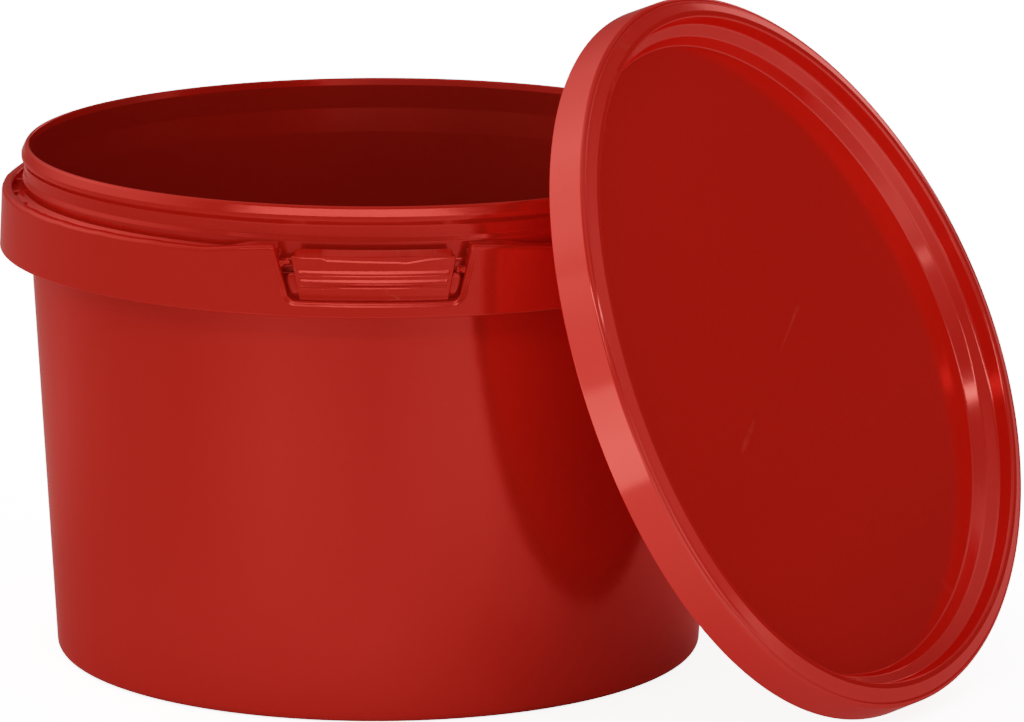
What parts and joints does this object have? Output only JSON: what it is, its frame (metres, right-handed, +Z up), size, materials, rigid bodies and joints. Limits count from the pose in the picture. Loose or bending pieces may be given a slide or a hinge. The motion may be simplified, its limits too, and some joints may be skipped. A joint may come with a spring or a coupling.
{
  "type": "paint tub with lid",
  "caption": "Round red plastic paint tub with a tamper-evident collar, a tear-off tab and a press-on lid leaning against it.",
  "frame": {"origin": "centre of the tub's flat base, on the surface it stands on", "axes": "+Z up along the tub's axis; the tear-off tab faces -Y and the lid leans on the +X side"},
  "size_m": [0.1878, 0.1687, 0.1241],
  "materials": {
    "tub_plastic": "glossy injection-moulded polypropylene, opaque red",
    "lid_plastic": "glossy injection-moulded polypropylene, opaque red"
  },
  "bodies": {
    "tub": {"tub": "tub_plastic", "tab_link_left": "tub_plastic", "tab_link_right": "tub_plastic"},
    "tear_tab": {"tear_tab": "tub_plastic"},
    "lid": {"lid": "lid_plastic"}
  },
  "joints": [
    {"name": "tab_hinge", "type": "hinge", "parent": "tub", "child": "tear_tab", "pos_m": [-0.00072, -0.0687, 0.0782], "axis": [0.9999, -0.0105, 0], "range_deg": [0, 90]},
    {"name": "lid_lift", "type": "slide", "parent": "tub", "child": "lid", "axis": [0, 0, 1], "range_m": [0, 0.12]}
  ]
}
